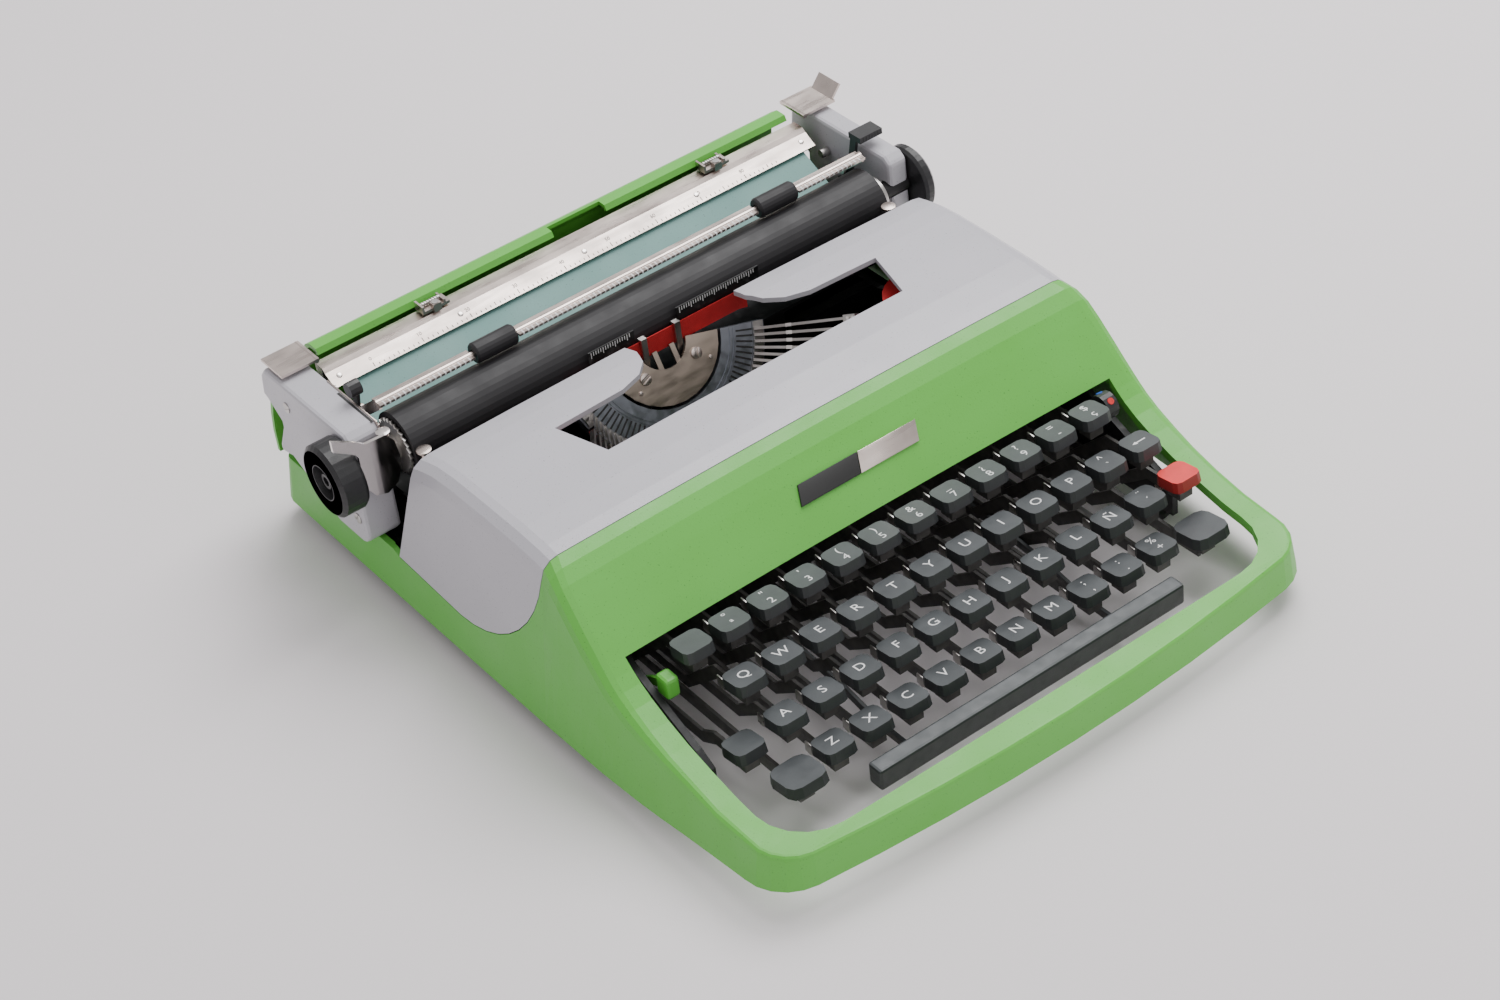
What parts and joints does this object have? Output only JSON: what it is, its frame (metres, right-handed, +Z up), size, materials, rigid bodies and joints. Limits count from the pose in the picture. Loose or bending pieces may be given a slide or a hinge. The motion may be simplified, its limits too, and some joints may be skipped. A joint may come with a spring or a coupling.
{
  "type": "portable manual typewriter",
  "caption": "Portable manual typewriter: green shell with grey ribbon cover, dark square keys, one red key, and a sliding carriage with a black platen.",
  "frame": {"origin": "on the table, under the middle of the machine's overall box", "axes": "+X to the typist's right, +Y to the back of the machine, +Z up"},
  "size_m": [0.3227, 0.3655, 0.101],
  "materials": {
    "green_enamel": "semi-gloss bright green enamel",
    "grey_enamel": "satin light grey enamel",
    "teal_enamel": "matt dull teal enamel",
    "key_plastic": "satin dark grey moulded plastic",
    "red_plastic": "satin red moulded plastic",
    "black_plastic": "satin black moulded plastic",
    "bright_steel": "nickel-plated pressed steel",
    "black_steel": "blackened steel",
    "chrome": "polished chrome plate",
    "bronze_plate": "warm nickel-bronze plate",
    "segment_casting": "machined blue-grey casting",
    "black_rubber": "hard matt black rubber",
    "ribbon_cloth": "inked woven ribbon, red over black"
  },
  "bodies": {
    "machine": {"body_shell": "green_enamel", "bottom_plate": "black_steel", "chassis": "black_steel", "foot_front_left": "black_rubber", "foot_front_right": "black_rubber", "foot_rear_left": "black_rubber", "foot_rear_right": "black_rubber", "ribbon": "ribbon_cloth", "card_guide": "black_steel"},
    "cover": {"ribbon_cover": "grey_enamel"},
    "basket": {"type_segment": "segment_casting", "segment_plate": "bronze_plate", "type_basket": "bright_steel"},
    "type_bar": {"type_bar": "bright_steel"},
    "vibrator": {"ribbon_vibrator": "bright_steel"},
    "spool_left": {"ribbon_spool_left": "ribbon_cloth"},
    "spool_right": {"ribbon_spool_right": "ribbon_cloth"},
    "carriage": {"carriage_frame": "black_steel", "left_end_plate": "grey_enamel", "right_end_plate": "grey_enamel", "rear_cover": "green_enamel", "paper_table": "teal_enamel", "margin_rule": "bright_steel"},
    "roller": {"platen": "black_rubber", "left_knob": "black_plastic", "right_knob": "black_plastic"},
    "bail": {"paper_bail": "bright_steel"},
    "bail_roller_left": {"bail_roller_left": "black_rubber"},
    "bail_roller_right": {"bail_roller_right": "black_rubber"},
    "return_lever": {"return_lever": "chrome"},
    "line_space_selector": {"line_space_selector": "black_plastic"},
    "paper_release_lever": {"paper_release_lever": "black_steel"},
    "carriage_release_left": {"carriage_release_left": "bright_steel"},
    "carriage_release_right": {"carriage_release_right": "bright_steel"},
    "margin_stop_left": {"margin_stop_left": "bright_steel"},
    "margin_stop_right": {"margin_stop_right": "bright_steel"},
    "colour_selector": {"colour_selector": "black_plastic"},
    "tab_set_lever": {"tab_set_lever": "green_enamel"},
    "number_row": {"number_row": "key_plastic"},
    "upper_letter_row": {"upper_letter_row": "key_plastic"},
    "lower_letter_row": {"lower_letter_row": "key_plastic"},
    "key_a": {"key_a": "key_plastic"},
    "key_s": {"key_s": "key_plastic"},
    "key_d": {"key_d": "key_plastic"},
    "key_f": {"key_f": "key_plastic"},
    "key_g": {"key_g": "key_plastic"},
    "key_h": {"key_h": "key_plastic"},
    "key_j": {"key_j": "key_plastic"},
    "key_k": {"key_k": "key_plastic"},
    "key_l": {"key_l": "key_plastic"},
    "key_ene": {"key_ene": "key_plastic"},
    "key_accent": {"key_accent": "key_plastic"},
    "margin_release_key": {"margin_release_key": "key_plastic"},
    "backspace_key": {"backspace_key": "key_plastic"},
    "tab_key": {"tab_key": "red_plastic"},
    "shift_lock_key": {"shift_lock_key": "key_plastic"},
    "left_shift_key": {"left_shift_key": "key_plastic"},
    "right_shift_key": {"right_shift_key": "key_plastic"},
    "space_bar": {"space_bar": "key_plastic"}
  },
  "joints": [
    {"name": "cover_lift", "type": "slide", "parent": "machine", "child": "cover", "axis": [0, 0, 1], "range_m": [0, 0.06]},
    {"name": "number_row_press", "type": "hinge", "parent": "machine", "child": "number_row", "pos_m": [0.0046, 0.0388, 0.018], "axis": [1, 0, 0], "range_deg": [0, 3.5], "stiffness_Nm_per_rad": 3, "springref_deg": -5.73},
    {"name": "upper_letter_row_press", "type": "hinge", "parent": "machine", "child": "upper_letter_row", "pos_m": [0.0046, 0.0388, 0.018], "axis": [1, 0, 0], "range_deg": [0, 3.5], "stiffness_Nm_per_rad": 3, "springref_deg": -5.73},
    {"name": "lower_letter_row_press", "type": "hinge", "parent": "machine", "child": "lower_letter_row", "pos_m": [0.0046, 0.0388, 0.018], "axis": [1, 0, 0], "range_deg": [0, 3.5], "stiffness_Nm_per_rad": 3, "springref_deg": -5.73},
    {"name": "key_a_press", "type": "hinge", "parent": "machine", "child": "key_a", "pos_m": [-0.0859, 0.0388, 0.018], "axis": [1, 0, 0], "range_deg": [0, 3.5], "stiffness_Nm_per_rad": 1, "springref_deg": -2.86},
    {"name": "key_s_press", "type": "hinge", "parent": "machine", "child": "key_s", "pos_m": [-0.06685, 0.0388, 0.018], "axis": [1, 0, 0], "range_deg": [0, 3.5], "stiffness_Nm_per_rad": 1, "springref_deg": -2.86},
    {"name": "key_d_press", "type": "hinge", "parent": "machine", "child": "key_d", "pos_m": [-0.0478, 0.0388, 0.018], "axis": [1, 0, 0], "range_deg": [0, 3.5], "stiffness_Nm_per_rad": 1, "springref_deg": -2.86},
    {"name": "key_f_press", "type": "hinge", "parent": "machine", "child": "key_f", "pos_m": [-0.02875, 0.0388, 0.018], "axis": [1, 0, 0], "range_deg": [0, 3.5], "stiffness_Nm_per_rad": 1, "springref_deg": -2.86},
    {"name": "key_g_press", "type": "hinge", "parent": "machine", "child": "key_g", "pos_m": [-0.0097, 0.0388, 0.018], "axis": [1, 0, 0], "range_deg": [0, 3.5], "stiffness_Nm_per_rad": 1, "springref_deg": -2.86},
    {"name": "key_h_press", "type": "hinge", "parent": "machine", "child": "key_h", "pos_m": [0.00935, 0.0388, 0.018], "axis": [1, 0, 0], "range_deg": [0, 3.5], "stiffness_Nm_per_rad": 1, "springref_deg": -2.86},
    {"name": "key_j_press", "type": "hinge", "parent": "machine", "child": "key_j", "pos_m": [0.0284, 0.0388, 0.018], "axis": [1, 0, 0], "range_deg": [0, 3.5], "stiffness_Nm_per_rad": 1, "springref_deg": -2.86},
    {"name": "key_k_press", "type": "hinge", "parent": "machine", "child": "key_k", "pos_m": [0.04745, 0.0388, 0.018], "axis": [1, 0, 0], "range_deg": [0, 3.5], "stiffness_Nm_per_rad": 1, "springref_deg": -2.86},
    {"name": "key_l_press", "type": "hinge", "parent": "machine", "child": "key_l", "pos_m": [0.0665, 0.0388, 0.018], "axis": [1, 0, 0], "range_deg": [0, 3.5], "stiffness_Nm_per_rad": 1, "springref_deg": -2.86},
    {"name": "key_ene_press", "type": "hinge", "parent": "machine", "child": "key_ene", "pos_m": [0.08555, 0.0388, 0.018], "axis": [1, 0, 0], "range_deg": [0, 3.5], "stiffness_Nm_per_rad": 1, "springref_deg": -2.86},
    {"name": "key_accent_press", "type": "hinge", "parent": "machine", "child": "key_accent", "pos_m": [0.1046, 0.0388, 0.018], "axis": [1, 0, 0], "range_deg": [0, 3.5], "stiffness_Nm_per_rad": 1, "springref_deg": -2.86},
    {"name": "margin_release_key_press", "type": "hinge", "parent": "machine", "child": "margin_release_key", "pos_m": [-0.1002, 0.0388, 0.018], "axis": [1, 0, 0], "range_deg": [0, 3.5], "stiffness_Nm_per_rad": 1, "springref_deg": -2.86},
    {"name": "backspace_key_press", "type": "hinge", "parent": "machine", "child": "backspace_key", "pos_m": [0.11885, 0.0388, 0.018], "axis": [1, 0, 0], "range_deg": [0, 3.5], "stiffness_Nm_per_rad": 1, "springref_deg": -2.86},
    {"name": "tab_key_press", "type": "hinge", "parent": "machine", "child": "tab_key", "pos_m": [0.12365, 0.0388, 0.018], "axis": [1, 0, 0], "range_deg": [0, 3.5], "stiffness_Nm_per_rad": 1, "springref_deg": -2.86},
    {"name": "shift_lock_key_press", "type": "hinge", "parent": "machine", "child": "shift_lock_key", "pos_m": [-0.1054, 0.0388, 0.018], "axis": [1, 0, 0], "range_deg": [0, 3.5], "stiffness_Nm_per_rad": 1, "springref_deg": -2.86},
    {"name": "left_shift_key_press", "type": "hinge", "parent": "machine", "child": "left_shift_key", "pos_m": [-0.0964, 0.0388, 0.018], "axis": [1, 0, 0], "range_deg": [0, 3.5], "stiffness_Nm_per_rad": 4, "springref_deg": -2.86},
    {"name": "right_shift_key_press", "type": "hinge", "parent": "machine", "child": "right_shift_key", "pos_m": [0.1171, 0.0388, 0.018], "axis": [1, 0, 0], "range_deg": [0, 3.5], "stiffness_Nm_per_rad": 1, "springref_deg": -2.86},
    {"name": "space_bar_press", "type": "hinge", "parent": "machine", "child": "space_bar", "pos_m": [0.0046, 0.0388, 0.018], "axis": [1, 0, 0], "range_deg": [0, 2.2], "stiffness_Nm_per_rad": 2, "springref_deg": -3.44},
    {"name": "basket_shift", "type": "slide", "parent": "machine", "child": "basket", "axis": [0, 0, 1], "range_m": [-0.0035, 0], "stiffness_N_per_m": 500, "springref_m": 0.006},
    {"name": "type_bar_swing", "type": "hinge", "parent": "basket", "child": "type_bar", "pos_m": [0.0001, 0.0523, 0.03243], "axis": [-1, 0, 0], "range_deg": [0, 121]},
    {"name": "vibrator_lift", "type": "slide", "parent": "machine", "child": "vibrator", "axis": [0, 0, 1], "range_m": [0, 0.009]},
    {"name": "spool_left_spin", "type": "hinge", "parent": "machine", "child": "spool_left", "pos_m": [-0.0914, 0.0148, 0.061], "axis": [0, 0, 1], "continuous": true},
    {"name": "spool_right_spin", "type": "hinge", "parent": "machine", "child": "spool_right", "pos_m": [0.1006, 0.0148, 0.061], "axis": [0, 0, 1], "continuous": true},
    {"name": "colour_selector_turn", "type": "hinge", "parent": "machine", "child": "colour_selector", "pos_m": [0.1223, -0.0492, 0.034], "axis": [1, 0, 0], "range_deg": [0, 14]},
    {"name": "tab_set_press", "type": "hinge", "parent": "machine", "child": "tab_set_lever", "pos_m": [-0.1131, -0.0512, 0.03], "axis": [1, 0, 0], "range_deg": [0, 8], "stiffness_Nm_per_rad": 0.3, "springref_deg": -5.73},
    {"name": "carriage_slide", "type": "slide", "parent": "machine", "child": "carriage", "axis": [1, 0, 0], "range_m": [-0.095, 0.095]},
    {"name": "platen_turn", "type": "hinge", "parent": "carriage", "child": "roller", "pos_m": [0.0046, 0.0983, 0.0735], "axis": [1, 0, 0], "continuous": true},
    {"name": "bail_lift", "type": "hinge", "parent": "carriage", "child": "bail", "pos_m": [0.0046, 0.1208, 0.08], "axis": [-1, 0, 0], "range_deg": [0, 70]},
    {"name": "bail_roller_left_spin", "type": "hinge", "parent": "bail", "child": "bail_roller_left", "pos_m": [-0.0669, 0.1053, 0.0928], "axis": [1, 0, 0], "continuous": true},
    {"name": "bail_roller_right_spin", "type": "hinge", "parent": "bail", "child": "bail_roller_right", "pos_m": [0.0861, 0.1053, 0.0928], "axis": [1, 0, 0], "continuous": true},
    {"name": "return_lever_swing", "type": "hinge", "parent": "carriage", "child": "return_lever", "pos_m": [-0.1334, 0.0902, 0.078], "axis": [0, 0, 1], "range_deg": [0, 20], "stiffness_Nm_per_rad": 0.4, "springref_deg": -8.59},
    {"name": "line_space_turn", "type": "hinge", "parent": "carriage", "child": "line_space_selector", "pos_m": [-0.1296, 0.1228, 0.066], "axis": [1, 0, 0], "range_deg": [-12, 12]},
    {"name": "paper_release_pull", "type": "hinge", "parent": "carriage", "child": "paper_release_lever", "pos_m": [0.1396, 0.1248, 0.066], "axis": [1, 0, 0], "range_deg": [0, 12]},
    {"name": "carriage_release_left_press", "type": "hinge", "parent": "carriage", "child": "carriage_release_left", "pos_m": [-0.1292, 0.1583, 0.0932], "axis": [0, -1, 0], "range_deg": [0, 4], "stiffness_Nm_per_rad": 0.4, "springref_deg": -5.73},
    {"name": "carriage_release_right_press", "type": "hinge", "parent": "carriage", "child": "carriage_release_right", "pos_m": [0.1384, 0.1583, 0.0932], "axis": [0, 1, 0], "range_deg": [0, 4], "stiffness_Nm_per_rad": 0.4, "springref_deg": -5.73},
    {"name": "margin_left_slide", "type": "slide", "parent": "carriage", "child": "margin_stop_left", "axis": [1, 0, 0], "range_m": [-0.05, 0.06]},
    {"name": "margin_right_slide", "type": "slide", "parent": "carriage", "child": "margin_stop_right", "axis": [1, 0, 0], "range_m": [-0.06, 0.042]}
  ],
  "couplings": [
    {"joint": "right_shift_key_press", "follows": "basket_shift", "rad_per_m": -17.45},
    {"joint": "left_shift_key_press", "follows": "basket_shift", "rad_per_m": -17.45},
    {"joint": "type_bar_swing", "follows": "key_g_press", "ratio": 34.5},
    {"joint": "vibrator_lift", "follows": "key_g_press", "m_per_rad": 0.147}
  ]
}
